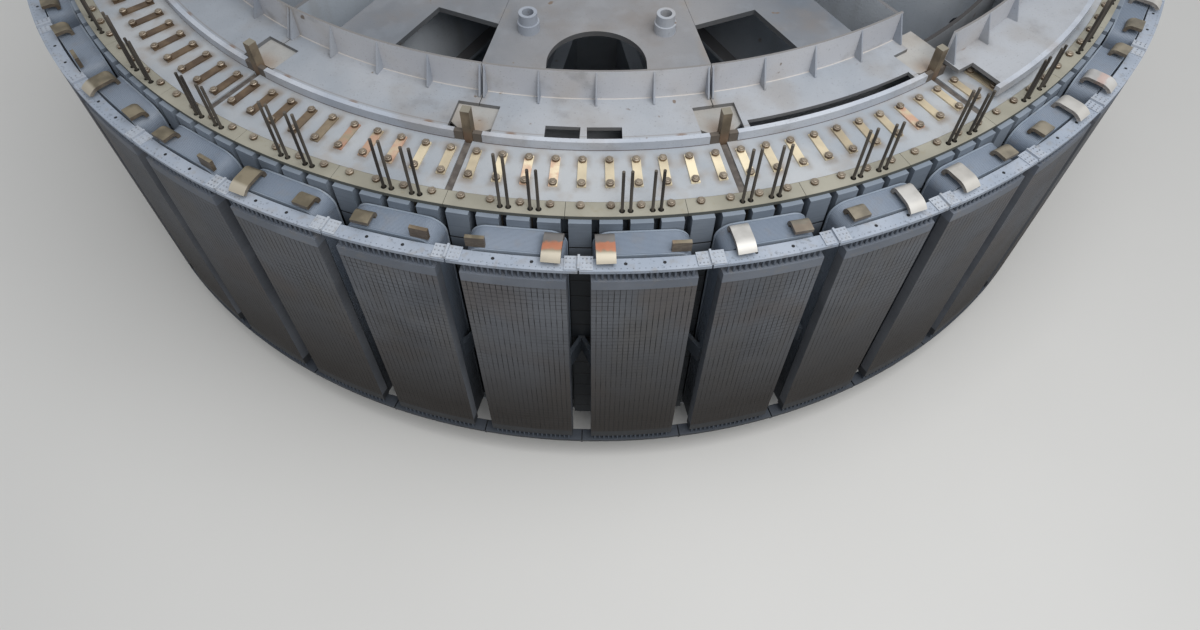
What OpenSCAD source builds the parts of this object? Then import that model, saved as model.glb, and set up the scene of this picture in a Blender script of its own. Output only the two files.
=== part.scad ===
// Rotor of a vertical hydroelectric generator: a welded spider with sixteen webs,
// a laminated rim and forty salient field poles.
// The rotor stands on the coupling flange of its hub. The axis is +Z through the origin,
// and -Y is the middle of a spider sector. Angles are counted from -Y towards +X.

/* [Counts] */
// Number of field poles
pole_count = 40; // [32:8:40]
// Damper bars in each pole face
bars_per_pole = 17; // [9:2:17]

/* [Rim] */
// Radius of the rim at the pole seats
rim_r = 4865; // [4800:1:4900]
// Radial width of the laminated rim
rim_w = 625; // [600:1:640]
// Height of the rim's stack of laminations
rim_h = 2578; // [2500:1:2620]
// Height of the rim's underside over the coupling face
rim_z = 256; // [240:1:400]
// Width of the slots that hold the pole claws
slot_w = 48; // [40:1:52]
// Depth of those slots from the pole seat
slot_depth = 120; // [112:1:130]
// Height of the middle of the pole keys over the floor of those slots
key_seat = 44; // [36:1:60]
// Thickness of the plates that close the rim at both ends
end_plate_t = 30; // [20:1:40]
// Radial width of the outer rim end plates
outer_plate_w = 115; // [110:1:125]
// How far the outer end plates stay back from the pole seats
outer_plate_inset = 33; // [25:1:40]
// Width of the gap between two sector plates of the rim
joint_w = 50; // [40:1:60]

/* [Rim fasteners] */
// Distance of the outer rim bolts from the outer edge of their plates
outer_bolt_back = 81; // [70:1:84]
// Distance of the straps' outer bolts from the outer plates
strap_back = 137; // [100:1:150]
// Distance between the two bolts of a strap
strap_pitch = 199; // [180:1:210]
// Width of a locking strap
strap_w = 58; // [50:1:80]
// Thickness of a locking strap
strap_t = 12; // [8:1:16]
// Metal of a strap past each of its bolts
strap_end = 22; // [18:1:32]
// Width of the bolt heads across the flats
head_af = 50; // [45:1:55]
// Height of the bolt heads
head_h = 30; // [25:1:45]

/* [Poles] */
// Height of the pole body, from the rim to the back of the shoe
body_h = 185; // [170:1:200]
// Width of the pole body
body_w = 370; // [340:1:380]
// Radial thickness of the pole shoe at its middle
shoe_t = 111; // [100:1:125]
// Width of the pole shoe
shoe_w = 656; // [630:1:670]
// How far the laminated pole cores end inside the two ends of the rim
core_back = 263; // [255:1:300]
// Thickness of a pole end plate
pole_plate_t = 85; // [70:1:90]
// How far the middle of the poles lies under the middle of the rim
pole_drop = 16; // [0:1:30]
// Diameter of the round keys that lock the pole claws
key_d = 20; // [16:1:26]
// Distance between the two keys of a claw
key_pitch = 52; // [48:1:56]
// Height of the tallest key ends over the rim's end plates
key_over = 462; // [300:1:500]

/* [Field coils] */
// Width of a coil between its long outer sides
coil_w = 604; // [590:1:610]
// Width of the coil's copper strip
strip_w = 109; // [100:1:112]
// Gap between the end of the pole and the inside of the coil
coil_gap = 16; // [8:1:20]
// Outer corner radius of a coil
coil_corner = 110; // [90:1:130]
// Thickness of the insulating collar on the rim side of a coil
collar_t = 12; // [8:1:16]
// Thickness of the insulating collar on the shoe side of a coil
shoe_collar_t = 5; // [3:1:8]
// Gap between the rim side collar and the rim
rim_gap = 3; // [1:1:6]
// Width of the copper connection tabs
tab_w = 120; // [90:1:130]
// Thickness of the connection tabs
tab_t = 26; // [16:1:30]
// Distance of the tabs from the middle of the coil
tab_offset = 235; // [210:1:236]
// Height of the upright tabs over the coil
tab_h = 85; // [60:1:130]

/* [Damper cage] */
// Radial width of the damper rings
ring_w = 95; // [80:1:100]
// Thickness of the damper rings
ring_t = 26; // [20:1:35]
// Free length of the damper bars between pole and ring
bar_free = 84; // [60:1:95]
// Diameter of the damper bars
bar_d = 15; // [13:1:22]
// Spacing of the damper bars along the pole face
bar_pitch = 37; // [33:1:38]
// Depth of the bar centres under the pole face
bar_depth = 20; // [18:1:30]
// Width of the flexible link over each joint of a ring
link_w = 175; // [150:1:190]
// Thickness of the leaves of that link
link_t = 8; // [5:1:12]
// Height of the fold in the middle of the link
fold_h = 26; // [18:1:35]

/* [Coil braces] */
// Height of the wedge brace between two coils
brace_h = 170; // [120:1:220]
// How far the middle of the braces lies under the middle of the poles
brace_drop = 100; // [0:1:200]
// Thickness of the arms of a brace
brace_t = 20; // [14:1:24]

/* [Spider] */
// Outer radius of the hub drum
hub_r = 1150; // [1120:1:1200]
// Thickness of the hub's wall
hub_wall = 90; // [60:1:110]
// Distance of the bore through the two flanges from the circle of coupling bolts
bore_back = 360; // [300:1:460]
// How far the two coupling flanges reach out over the drum
flange_lip = 170; // [120:1:250]
// Thickness of the lower coupling flange
flange_t = 200; // [150:1:210]
// Distance of the coupling bolts from the inside of the drum
bolt_circle_back = 140; // [110:1:170]
// Number of coupling bolt holes
coupling_holes = 16; // [12:4:20]
// Diameter of the coupling bolt holes
coupling_hole_d = 92; // [70:1:110]
// Distance between the spider's round wall and the rim
shell_back = 240; // [215:1:290]
// Thickness of the spider's round wall
shell_t = 30; // [20:1:40]
// Thickness of the radial webs
web_t = 30; // [20:1:40]
// Thickness of the upper and lower decks
deck_t = 40; // [30:1:50]
// Height of the lower deck's underside over the coupling face
lower_deck_z = 330; // [300:1:400]
// Width of the ring shaped air inlets between the hub flanges and the decks
inlet_w = 730; // [500:1:900]
// Width of a stiffener on a web
stiffener_w = 120; // [80:1:150]
// Distance of the stiffeners' ends from the hub and from the round wall
stiffener_back = 400; // [300:1:600]
// Diameter of the round hole near the outer end of each web
web_hole_d = 165; // [120:1:200]
// Distance of that hole from the outside of the round wall
web_hole_back = 190; // [150:1:250]
// Distance of that hole's middle under the deck
web_hole_drop = 923; // [860:1:1000]
// Thickness of the rim posts at the sector joints
post_t = 64; // [50:1:80]
// Thickness of the cap plates on the posts, which carry the ledge
cap_t = 20; // [12:1:30]
// Width of those cap plates
cap_w = 396; // [340:1:420]
// Width of the square keys between posts and rim
rim_key_w = 60; // [50:1:66]
// Height of the rim keys over the rim's end plates
rim_key_over = 256; // [150:1:300]

/* [Upper deck] */
// Height of the ledge over the rim's end plates
ledge_rise = 75; // [70:1:90]
// Thickness of the ledge plates
ledge_t = 30; // [20:1:35]
// Width of the curb that edges the ledge
curb_w = 36; // [25:1:38]
// Length of the open curb at each sector joint
curb_gap = 190; // [170:1:240]
// Width of the notches in the ledge at the sector joints
notch_w = 290; // [240:1:320]
// How far the upright skirt of the deck stands back from the outside of the round wall
skirt_back = 129; // [115:1:150]
// Thickness of the skirt
skirt_t = 16; // [10:1:20]
// Height of the skirt over the ledge
skirt_h = 234; // [210:1:250]
// Foot length of the skirt's gussets
gusset_w = 78; // [60:1:90]
// Thickness of the gussets
gusset_t = 12; // [8:1:16]
// How far the one ledge segment that isn't seated yet lies out from its place
loose_shift = 390; // [380:1:400]
// Radius of the arched openings in the deck
arch_r = 331; // [300:1:360]
// Distance of the arch centres from the skirt
arch_back = 82; // [60:1:130]
// Distance of the inner edge of the openings beside the arched sectors from the skirt
slant_back = 484; // [420:1:560]
// Width of the slanting deck strips beyond those openings
strip_deck_w = 430; // [380:1:460]
// Turn of the slanting arms against the middle of their sector, in degrees
arm_turn = 8.5; // [6:0.5:9]
// Where the middle of an arm meets the line arm_back: its distance from the middle of the sector
arm_aside = 46; // [30:1:60]
// Distance of that line from the skirt
arm_back = 241; // [220:1:260]
// Width of the arms' lower flanges
arm_flange_w = 235; // [200:1:260]
// Height of the slanting arms under the deck
arm_h = 743; // [600:1:900]
// Radial length of the deck plates at the four open bays
bay_plate_l = 500; // [350:1:700]
// Outer diameter of the pipe stubs on the deck
stub_d = 150; // [120:1:160]
// Height of the pipe stubs
stub_h = 143; // [100:1:160]
// Distance of the pipe stubs from the skirt
stub_back = 427; // [400:1:460]
// Distance of the pipe stubs from the middle of their plate
stub_aside = 463; // [430:1:480]

/* [Hidden] */
$fn = 360;
eps = 1;
seat = 0.3;
// The deck and the rim repeat over sixteen sectors, and each pole has four rim bolts
sector_count = 16;
bolts_per_pole = 4;
pole_pitch = 360 / pole_count;
sector_pitch = 360 / sector_count;
bolt_pitch = pole_pitch / bolts_per_pole;
quarter = sector_count / 4;
// The first joint between poles lies half a bolt pitch before -Y
joint_a = -bolt_pitch / 2;
pole_a = joint_a + pole_pitch / 2;

rim_in_r = rim_r - rim_w;
rim_top = rim_z + rim_h;
plate_top = rim_top + end_plate_t;
outer_plate_r = rim_r - outer_plate_inset;
plate_split_r = outer_plate_r - outer_plate_w;
outer_bolt_r = outer_plate_r - outer_bolt_back;
strap_outer_r = plate_split_r - strap_back;
key_r = rim_r - slot_depth + key_seat;
key_bore_r = key_d / 2 + seat;
brake_t = 40;
brake_w = 240;

shoe_back = rim_r + body_h;
face_r = shoe_back + shoe_t;
pole_mid = rim_z + rim_h / 2 - pole_drop;
core_h = rim_h - 2 * core_back;
core_z = pole_mid - core_h / 2;
pole_z = core_z - pole_plate_t;
pole_top = core_z + core_h + pole_plate_t;
shoe_bevel = 26;

coil_u = rim_r + rim_gap + collar_t;
coil_depth = shoe_back - shoe_collar_t - coil_u;
coil_inner_w = coil_w - 2 * strip_w;
coil_h = pole_top - pole_z + 2 * (coil_gap + strip_w);
coil_top = pole_mid + coil_h / 2;

ring_top = pole_top + bar_free + ring_t;
ring_low = pole_z - bar_free - ring_t;
ring_in_r = face_r - ring_w;
bar_r = face_r - bar_depth;
bar_a = bar_pitch / bar_r * 180 / PI;
brace_z = pole_mid - brace_drop;
ring_joint = 10;

shell_r = rim_in_r - shell_back;
skirt_r = shell_r - skirt_back;
flange_r = hub_r + flange_lip;
bolt_circle_r = hub_r - hub_wall - bolt_circle_back;
bore_r = bolt_circle_r - bore_back;
inlet_r = flange_r + inlet_w;
deck_seam = 2;
lower_deck_top = lower_deck_z + deck_t;
ledge_top = plate_top + ledge_rise;
ledge_z = ledge_top - ledge_t;
deck_top = ledge_top + skirt_h;
deck_z = deck_top - deck_t;
skirt_in = skirt_r - skirt_t;
bay_r = inlet_r + bay_plate_l;
cap_z = ledge_z - cap_t;
// How far the curb laps over the rim
curb_lap = 44;
curb_r = rim_in_r + curb_lap;
curb_in_r = curb_r - curb_w;
segment_gap = 6;
// How far the webs and arms end behind the skirt
web_back = 10;
// The segment at the first open bay is the loose one
loose_sector = quarter / 2;
loose_rise = strap_t + head_h;
arch_at = skirt_r - arch_back;
slant_at = skirt_r - slant_back;
arm_at = skirt_r - arm_back;
hub_over = 60;
hub_top = deck_top + hub_over;
top_flange_t = 150;
key_in_r = rim_in_r - rim_key_w / 3;
keyway_gap = 10;
keyway_w = rim_key_w + 2 * keyway_gap;

// Copies of a feature drawn along +X, spread round the axis from the angle a
module around(n, a = 0) {
    for (k = [0 : n - 1])
        rotate(a - 90 + k * 360 / n) children();
}

// A feature drawn along +X turned to the angle a
module at(a) {
    rotate(a - 90) children();
}

// Flat ring between two radii
module band(r_in, r_out) {
    difference() {
        circle(r_out);
        circle(r_in);
    }
}

// Pie slice of the angle a about +X, reaching past the radius r
module slice(a, r) {
    polygon([[0, 0], [r, -r * tan(a / 2)], [r, r * tan(a / 2)]]);
}

// Ring sector with a gap of g between it and its neighbours
module ring_sector(r_in, r_out, a, g = 0) {
    intersection() {
        band(r_in, r_out);
        translate([g / 2 / sin(a / 2), 0]) slice(a, r_out + 10);
    }
}

module hex(af) {
    circle(d = af / cos(30), $fn = 6);
}

// The hub is a drum between the coupling flange below and the top flange above
module hub() {
    color("darkgray") translate([0, 0, flange_t]) linear_extrude(hub_top - flange_t)
        band(hub_r - hub_wall, hub_r);
}

module drilled_flange(t) {
    difference() {
        cylinder(r = flange_r, h = t);
        translate([0, 0, -eps]) cylinder(r = bore_r, h = t + 2 * eps);
        for (k = [0 : coupling_holes - 1])
            rotate(k * 360 / coupling_holes) translate([bolt_circle_r, 0, -eps])
                cylinder(d = coupling_hole_d, h = t + 2 * eps, $fn = 48);
    }
}

module coupling_flange() {
    color("dimgray") drilled_flange(flange_t);
}

module top_flange() {
    color("dimgray") translate([0, 0, hub_top]) drilled_flange(top_flange_t);
}

// Radial webs stand under the sector joints and step down under the ledge
module spider_webs() {
    step_r = skirt_in - web_back;
    color("gainsboro") around(sector_count, sector_pitch / 2)
        rotate([90, 0, 0]) translate([0, 0, -web_t / 2]) linear_extrude(web_t) difference() {
            polygon([
                [hub_r, lower_deck_top], [shell_r, lower_deck_top], [shell_r, cap_z],
                [step_r, cap_z], [step_r, deck_z], [hub_r, deck_z]
            ]);
            translate([shell_r - web_hole_back, deck_z - web_hole_drop]) circle(d = web_hole_d, $fn = 48);
        }
}

// A flat stiffener along both faces of each web
module web_stiffeners() {
    stiffener_t = 24;
    stiffener_z = (lower_deck_top + deck_z - stiffener_t) / 2;
    color("silver") around(sector_count, sector_pitch / 2)
        for (side = [-1, 1])
            translate([hub_r + stiffener_back, side * (web_t + stiffener_w) / 2 - stiffener_w / 2, stiffener_z])
                cube([shell_r - shell_t - hub_r - 2 * stiffener_back, stiffener_w, stiffener_t]);
}

// A strip of the width w along the slanting arm of a side sector, drawn about +X of that sector
module arm_strip(w) {
    translate([arm_at, arm_aside]) rotate(arm_turn) translate([-arm_at, -w / 2]) square([2 * arm_at, w]);
}

// Copies about the side sectors at either hand of the arched ones, which mirror each other
module each_side_sector() {
    around(quarter)
        for (side = [0, 1])
            mirror([0, side]) rotate(sector_pitch) children();
}

// The arms stand under the deck strips beside the open bays, each on a lower flange
module spider_arms() {
    arm_flange_t = 30;
    color("lightgray") for (part = [[web_t, arm_h], [arm_flange_w, arm_flange_t]])
        translate([0, 0, deck_z - arm_h]) linear_extrude(part[1]) each_side_sector()
            intersection() {
                band(inlet_r, skirt_in - web_back);
                arm_strip(part[0]);
            }
}

// Both decks leave a ring shaped air inlet round the hub. The lower one has a plate for each sector.
module lower_deck() {
    color("gainsboro") translate([0, 0, lower_deck_z]) linear_extrude(deck_t)
        around(sector_count) ring_sector(inlet_r, shell_r, sector_pitch, deck_seam);
}

// The panels of the round wall stand on the lower deck, between the webs
module spider_shell() {
    color("gainsboro") translate([0, 0, lower_deck_top]) linear_extrude(cap_z - lower_deck_top)
        around(sector_count) ring_sector(shell_r - shell_t, shell_r, sector_pitch, web_t + 2 * seat);
}

// The arched sectors are closed by one plate each, with an arch that opens at the skirt
module arched_deck_plates() {
    color("whitesmoke") translate([0, 0, deck_z]) linear_extrude(deck_t)
        around(quarter) difference() {
            ring_sector(inlet_r, skirt_in, sector_pitch, deck_seam);
            translate([arch_at, 0]) circle(arch_r);
            translate([arch_at, -arch_r]) square([skirt_r - arch_at, 2 * arch_r]);
        }
}

// The side plates have a slanting strip out to the skirt, and next to it a slanting opening
// with a straight inner edge. Beyond the strip they end at the open bay.
module side_deck_plates() {
    half_a = sector_pitch / 2;
    edge_v = (slant_at - arm_at) * tan(arm_turn) + arm_aside;
    color("whitesmoke") translate([0, 0, deck_z]) linear_extrude(deck_t) each_side_sector()
        intersection() {
            ring_sector(inlet_r, skirt_in, sector_pitch, deck_seam);
            union() {
                circle(bay_r);
                arm_strip(strip_deck_w);
                polygon([[0, 0], [slant_at, -slant_at * tan(half_a)], [slant_at, edge_v]]);
            }
        }
}

// Between two side plates only the inner part of the deck is closed
module bay_deck_plates() {
    color("whitesmoke") translate([0, 0, deck_z]) linear_extrude(deck_t)
        around(quarter, 2 * sector_pitch) ring_sector(inlet_r, bay_r, sector_pitch, deck_seam);
}

module pipe_stubs() {
    stub_bore_d = 80;
    stub_wall_gap = 24;
    foot_h = 70;
    color("whitesmoke") around(quarter)
        for (side = [-1, 1])
            translate([skirt_r - stub_back, side * stub_aside, deck_top]) difference() {
                union() {
                    cylinder(d = stub_d, h = foot_h, $fn = 48);
                    cylinder(d = stub_d - stub_wall_gap, h = stub_h, $fn = 48);
                }
                translate([0, 0, -eps]) cylinder(d = stub_bore_d, h = stub_h + 2 * eps, $fn = 48);
            }
}

// A segment of the ledge, or of what stands on it, in its place.
// The loose segment lies further out, on the heads of the strap bolts.
module each_segment(first = 0, step = 1) {
    for (k = [first : step : sector_count - 1])
        at(k * sector_pitch)
            translate(k == loose_sector ? [loose_shift, 0, loose_rise] : [0, 0, 0]) children();
}

// Outline of a ledge segment, notched at both ends round the rim keys
module ledge_outline() {
    difference() {
        ring_sector(skirt_in, curb_in_r, sector_pitch, segment_gap);
        for (side = [-1, 1])
            rotate(side * sector_pitch / 2) translate([shell_r + segment_gap / 2, -notch_w / 2])
                square([curb_r - shell_r, notch_w]);
    }
}

module ledge_plates() {
    window_w = 230;
    window_d = 105;
    window_a = 1.87;
    slot_a = 17.5;
    // Arched sectors: a pair of windows beside the curb
    color("white") each_segment(0, 4)
        translate([0, 0, ledge_z]) linear_extrude(ledge_t) difference() {
            ledge_outline();
            for (side = [-1, 1])
                rotate(joint_a + side * window_a) translate([curb_in_r - window_d, -window_w / 2])
                    square([window_d + eps, window_w]);
        }
    // Next sectors: one long slot beside the curb
    color("white") each_segment(1, 4)
        translate([0, 0, ledge_z]) linear_extrude(ledge_t) difference() {
            ledge_outline();
            ring_sector(curb_in_r - window_d * 0.6, curb_in_r + eps, slot_a);
        }
    // The other sectors are plain
    color("white") for (first = [2, 3])
        each_segment(first, 4)
            translate([0, 0, ledge_z]) linear_extrude(ledge_t) ledge_outline();
}

module ledge_curb() {
    curb_a = sector_pitch - curb_gap / curb_r * 180 / PI;
    color("lightsteelblue") each_segment()
        translate([0, 0, plate_top]) linear_extrude(ledge_rise) ring_sector(curb_in_r, curb_r, curb_a);
}

module deck_skirt() {
    color("white") each_segment()
        translate([0, 0, ledge_top]) linear_extrude(skirt_h)
            ring_sector(skirt_in, skirt_r, sector_pitch, segment_gap);
}

// Four bays between gussets on each segment, with a gusset at either end
module skirt_gussets() {
    end_a = sector_pitch / 2 - (segment_gap / 2 + gusset_t) / skirt_r * 180 / PI;
    toe_h = 12;
    top_h = skirt_h - 10;
    color("silver") each_segment()
        for (a = [-end_a, -sector_pitch / 4, 0, sector_pitch / 4, end_a])
            rotate(a) translate([skirt_r, gusset_t / 2, ledge_top]) rotate([90, 0, 0])
                linear_extrude(gusset_t) polygon([[0, 0], [gusset_w, 0], [gusset_w, toe_h], [0, top_h]]);
}

// The posts carry the rim keys on the spider's wall
module rim_posts() {
    color("silver") around(sector_count, sector_pitch / 2)
        translate([shell_r, -post_t / 2, lower_deck_z])
            cube([key_in_r - shell_r - seat, post_t, cap_z - lower_deck_z]);
}

// A cap plate lies on each web and its post, under the ends of two ledge segments.
// At both sides of the rim key a short bar closes the gap between the curbs.
module post_caps() {
    cap_out = key_in_r - seat;
    nose_l = 85;
    nose_w = 180;
    color("seashell") translate([0, 0, cap_z]) linear_extrude(cap_t)
        around(sector_count, sector_pitch / 2) polygon([
            [skirt_in, -cap_w / 2], [cap_out - nose_l, -cap_w / 2], [cap_out, -nose_w / 2],
            [cap_out, nose_w / 2], [cap_out - nose_l, cap_w / 2], [skirt_in, cap_w / 2]
        ]);
    bar_gap = 3;
    bar_l = curb_gap / 2 - rim_key_w / 2 - 2 * bar_gap;
    color("seashell") translate([0, 0, plate_top]) linear_extrude(ledge_rise)
        around(sector_count, sector_pitch / 2)
            for (side = [-1, 1])
                translate([curb_in_r, side * (rim_key_w / 2 + bar_gap + bar_l / 2) - bar_l / 2])
                    square([curb_w - bar_gap, bar_l]);
}

module rim_keys() {
    color("saddlebrown") around(sector_count, sector_pitch / 2)
        translate([key_in_r, -rim_key_w / 2, rim_z])
            cube([rim_key_w, rim_key_w, plate_top + rim_key_over - rim_z]);
}

// Slots of one pole: two for its claws, each with the bores of its round keys, and two plain ones
module rim_slots() {
    for (side = [-1, 1]) {
        rotate(side * bolt_pitch / 2) {
            translate([rim_r - slot_depth, -slot_w / 2]) square([slot_depth + eps, slot_w]);
            for (key_side = [-1, 1])
                translate([key_r, key_side * key_pitch / 2]) circle(key_bore_r, $fn = 32);
        }
        rotate(side * bolt_pitch * 1.5) translate([rim_r - slot_depth, -slot_w / 2])
            square([slot_depth + eps, slot_w]);
    }
}

module keyways() {
    around(sector_count, sector_pitch / 2) translate([key_in_r - eps, -keyway_w / 2])
        square([rim_key_w + seat + eps, keyway_w]);
}

module rim_core() {
    color("slategray") translate([0, 0, rim_z]) linear_extrude(rim_h)
        difference() {
            band(rim_in_r, rim_r);
            around(pole_count, pole_a) rim_slots();
            keyways();
        }
}

module rim_bottom_plates() {
    color("slategray") translate([0, 0, rim_z - end_plate_t]) linear_extrude(end_plate_t)
        around(sector_count) ring_sector(rim_in_r, outer_plate_r, sector_pitch, 6);
}

module brake_track() {
    brake_r = rim_in_r + rim_w / 2 + brake_w / 2;
    color("gray") translate([0, 0, rim_z - end_plate_t - brake_t]) linear_extrude(brake_t)
        around(sector_count) ring_sector(brake_r - brake_w, brake_r, sector_pitch, 8);
}

module rim_sector_plates() {
    color("aliceblue") translate([0, 0, rim_top]) linear_extrude(end_plate_t)
        difference() {
            around(sector_count) ring_sector(rim_in_r, plate_split_r - 1, sector_pitch, joint_w);
            keyways();
        }
}

module rim_joint_strips() {
    strip_in = key_in_r + rim_key_w + 12;
    color("dimgray") around(sector_count, sector_pitch / 2)
        translate([strip_in, -joint_w / 2 + 1, rim_top])
            cube([plate_split_r - 6 - strip_in, joint_w - 2, end_plate_t - 10]);
}

// One outer plate for each pole, with a hole round each pole key
module rim_outer_plates() {
    hole_d = key_d + 18;
    plate_a = pole_a - bolt_pitch / 2;
    color("cornsilk") translate([0, 0, rim_top]) linear_extrude(end_plate_t)
        around(pole_count, plate_a) difference() {
            ring_sector(plate_split_r, outer_plate_r, pole_pitch, 3);
            for (side = [0, 1])
                rotate(side * bolt_pitch)
                    for (key_side = [-1, 1])
                        translate([key_r, key_side * key_pitch / 2]) circle(d = hole_d, $fn = 24);
        }
}

module rim_straps() {
    strap_l = strap_pitch + 2 * strap_end;
    color("peru") translate([0, 0, plate_top]) linear_extrude(strap_t)
        around(pole_count * bolts_per_pole, bolt_pitch / 2)
            translate([strap_outer_r - strap_pitch - strap_end, -strap_w / 2]) square([strap_l, strap_w]);
}

module strap_bolts() {
    color("rosybrown") translate([0, 0, plate_top + strap_t]) linear_extrude(head_h)
        around(pole_count * bolts_per_pole, bolt_pitch / 2)
            for (r = [strap_outer_r - strap_pitch, strap_outer_r])
                translate([r, 0]) hex(head_af);
}

module outer_rim_bolts() {
    color("rosybrown") translate([0, 0, plate_top]) linear_extrude(head_h)
        around(pole_count * bolts_per_pole, bolt_pitch / 2) translate([outer_bolt_r, 0]) hex(head_af);
}

// How much lower than the tallest each pair of keys ends, from claw to claw
key_cuts = [105, 105, 0, 10, 40, 55, 0, 110];

// Round keys, two in each claw slot, driven from above and not yet cut off
module pole_keys() {
    color("darkslategray") for (k = [0 : pole_count - 1], side = [0, 1])
        at(pole_a + k * pole_pitch + (side - 0.5) * bolt_pitch) translate([0, 0, pole_z])
            linear_extrude(plate_top + key_over - key_cuts[(2 * k + side) % len(key_cuts)] - pole_z)
                for (key_side = [-1, 1])
                    translate([key_r, key_side * key_pitch / 2]) circle(d = key_d, $fn = 24);
}

// Shoe with an arched face and bevelled tips, on a straight body that seats on the rim
module pole_outline() {
    tip_u = shoe_back + shoe_bevel;
    difference() {
        union() {
            intersection() {
                circle(face_r);
                polygon([
                    [shoe_back, -shoe_w / 2 + shoe_bevel], [tip_u, -shoe_w / 2], [face_r, -shoe_w / 2],
                    [face_r, shoe_w / 2], [tip_u, shoe_w / 2], [shoe_back, shoe_w / 2 - shoe_bevel]
                ]);
            }
            translate([rim_r - slot_depth / 2, -body_w / 2]) square([body_h + slot_depth / 2 + eps, body_w]);
        }
        circle(rim_r + seat);
    }
}

// A claw reaches into its slot and is grooved for the two round keys
module claw() {
    claw_w = slot_w - 2;
    difference() {
        translate([rim_r - slot_depth + 4, -claw_w / 2]) square([slot_depth + 20, claw_w]);
        for (key_side = [-1, 1])
            translate([key_r, key_side * key_pitch / 2]) circle(key_bore_r, $fn = 32);
    }
}

module pole_cores() {
    color("lightslategray") translate([0, 0, core_z]) linear_extrude(core_h)
        around(pole_count, pole_a) union() {
            pole_outline();
            for (side = [-1, 1])
                rotate(side * bolt_pitch / 2) claw();
        }
}

module pole_plates(z) {
    translate([0, 0, z]) linear_extrude(pole_plate_t) around(pole_count, pole_a) pole_outline();
}

module upper_pole_plates() {
    color("lightsteelblue") pole_plates(core_z + core_h);
}

module lower_pole_plates() {
    color("lightsteelblue") pole_plates(pole_z);
}

// Rectangle with round corners, from its width, height and corner radius
module round_rect(w, h, r) {
    square([w - 2 * r, h], center = true);
    square([w, h - 2 * r], center = true);
    for (sx = [-1, 1], sy = [-1, 1])
        translate([sx * (w / 2 - r), sy * (h / 2 - r)]) circle(r, $fn = 48);
}

// Frame round a pole body, as thick as t, with its back at the distance u from the axis
module pole_frame(u, t, w, h, r) {
    window_h = pole_top - pole_z + 2 * coil_gap;
    window_corner = coil_corner - strip_w + 20;
    translate([u, 0, pole_mid]) rotate([90, 0, 90]) linear_extrude(t) difference() {
        round_rect(w, h, r);
        round_rect(coil_inner_w, window_h, window_corner);
    }
}

module field_coils() {
    color("lightslategray") around(pole_count, pole_a)
        pole_frame(coil_u, coil_depth, coil_w, coil_h, coil_corner);
}

module rim_side_collars() {
    color("lightsteelblue") around(pole_count, pole_a)
        pole_frame(coil_u - collar_t, collar_t, coil_w + 8, coil_h + 8, coil_corner + 4);
}

module shoe_side_collars() {
    color("lightsteelblue") around(pole_count, pole_a)
        pole_frame(coil_u + coil_depth, shoe_collar_t, coil_w, coil_h - 8, coil_corner);
}

// The shapes of the tabs from one pole to the next: long and folded, short and bent, or upright
left_tabs = [
    "long", "long", "bent", "long", "bent", "long", "bent", "long", "bent", "long",
    "bent", "long", "bent", "long", "bent", "long", "bent", "long", "bent", "up"
];
right_tabs = [
    "up", "bent", "long", "bent", "long", "bent", "long", "bent", "long", "bent",
    "up", "bent", "up", "bent", "up", "bent", "up", "bent", "up", "long"
];
// How much nearer than tab_offset each of them lies to the middle of its coil
left_shifts = [0, 50, 30, 36, 40, 14, 30, 20, 45, 10, 35, 25, 50, 15, 40, 20, 30, 0, 60, 0];
right_shifts = [10, 40, 66, 30, 76, 20, 50, 35, 60, 15, 25, 45, 0, 30, 20, 0, 10, 26, 30, 0];

// A profile in the plane of radius and height, made a tab of each pole that has this kind
module each_tab(kind) {
    for (k = [0 : pole_count - 1], side = [-1, 1]) {
        place = k % len(left_tabs);
        shift = (side < 0 ? left_shifts : right_shifts)[place];
        if ((side < 0 ? left_tabs : right_tabs)[place] == kind)
            at(pole_a + k * pole_pitch)
                translate([0, side * (tab_offset - shift) + tab_w / 2, coil_top])
                    rotate([90, 0, 0]) linear_extrude(tab_w) children();
    }
}

// Strip of leaves that rises at the radius u, and bends outwards over an arc of the radius r
module bent_strip(u, rise, r, reach) {
    translate([u, 0]) square([tab_t, rise - r]);
    translate([u + r, rise - r]) intersection() {
        difference() {
            circle(r, $fn = 64);
            circle(r - tab_t, $fn = 64);
        }
        translate([-r, 0]) square(r);
    }
    translate([u + r - eps, rise - tab_t]) square([reach - r + eps, tab_t]);
}

// Tabs from the turn next to the rim, bent out over the damper ring and dropping at their ends
module folded_coil_tabs() {
    foot_u = coil_u + 26;
    rise = 66;
    bend_r = 50;
    drop_r = 110;
    end_back = 42;
    flat_u = face_r - end_back - drop_r * 0.7;
    color("peru") each_tab("long") union() {
        bent_strip(foot_u, rise, bend_r, flat_u - foot_u);
        translate([flat_u, rise - drop_r]) intersection() {
            difference() {
                circle(drop_r, $fn = 96);
                circle(drop_r - tab_t, $fn = 96);
            }
            polygon([[-eps, 0], [-eps, drop_r + 1], [drop_r, drop_r + 1], [drop_r * 0.9, drop_r * 0.72], [0, 0]]);
        }
    }
}

// Tabs that are bent only half as far
module bent_coil_tabs() {
    rise = 62;
    bend_r = 50;
    reach = 118;
    color("peru") each_tab("bent") bent_strip(coil_u + coil_depth * 0.38, rise, bend_r, reach);
}

// Tabs from the turn next to the shoe that still stand upright
module upright_coil_tabs() {
    foot_u = coil_u + coil_depth - tab_t - 4;
    color("peru") each_tab("up") translate([foot_u, 0]) square([tab_t, tab_h]);
}

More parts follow.
